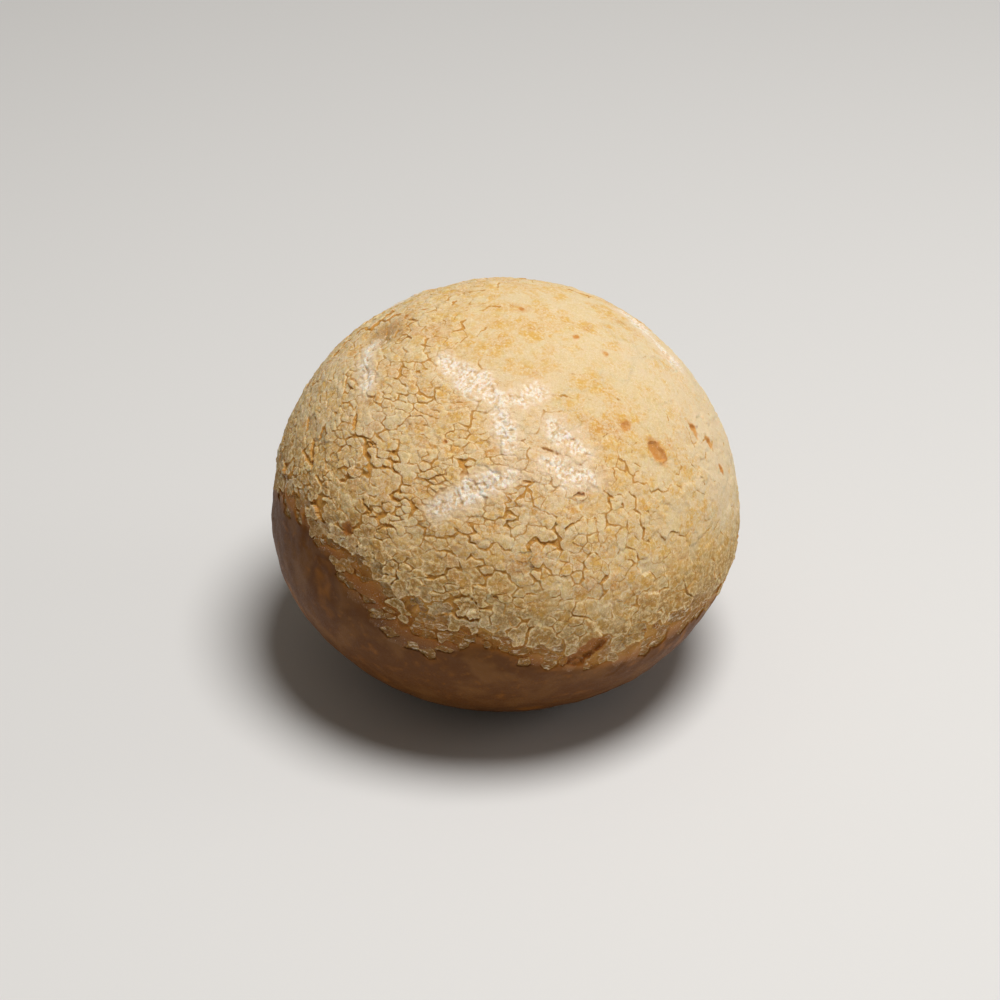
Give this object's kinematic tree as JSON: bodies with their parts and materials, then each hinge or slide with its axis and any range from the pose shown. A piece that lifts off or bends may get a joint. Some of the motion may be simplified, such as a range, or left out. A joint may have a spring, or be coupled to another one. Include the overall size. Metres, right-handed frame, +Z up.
{
  "type": "cheese bread ball",
  "caption": "Round baked cheese bread with a crackled golden crust, a smooth browned belly and a small flat base to stand on.",
  "frame": {"origin": "middle of the flat base, on the surface that the ball stands on", "axes": "+Z up from the base to the crown, -Y the front as it is usually seen, +X its right-hand side seen from the front"},
  "size_m": [0.06, 0.0592, 0.0502],
  "materials": {
    "crust": null
  },
  "bodies": {
    "root": {"bread": "crust"}
  },
  "joints": []
}
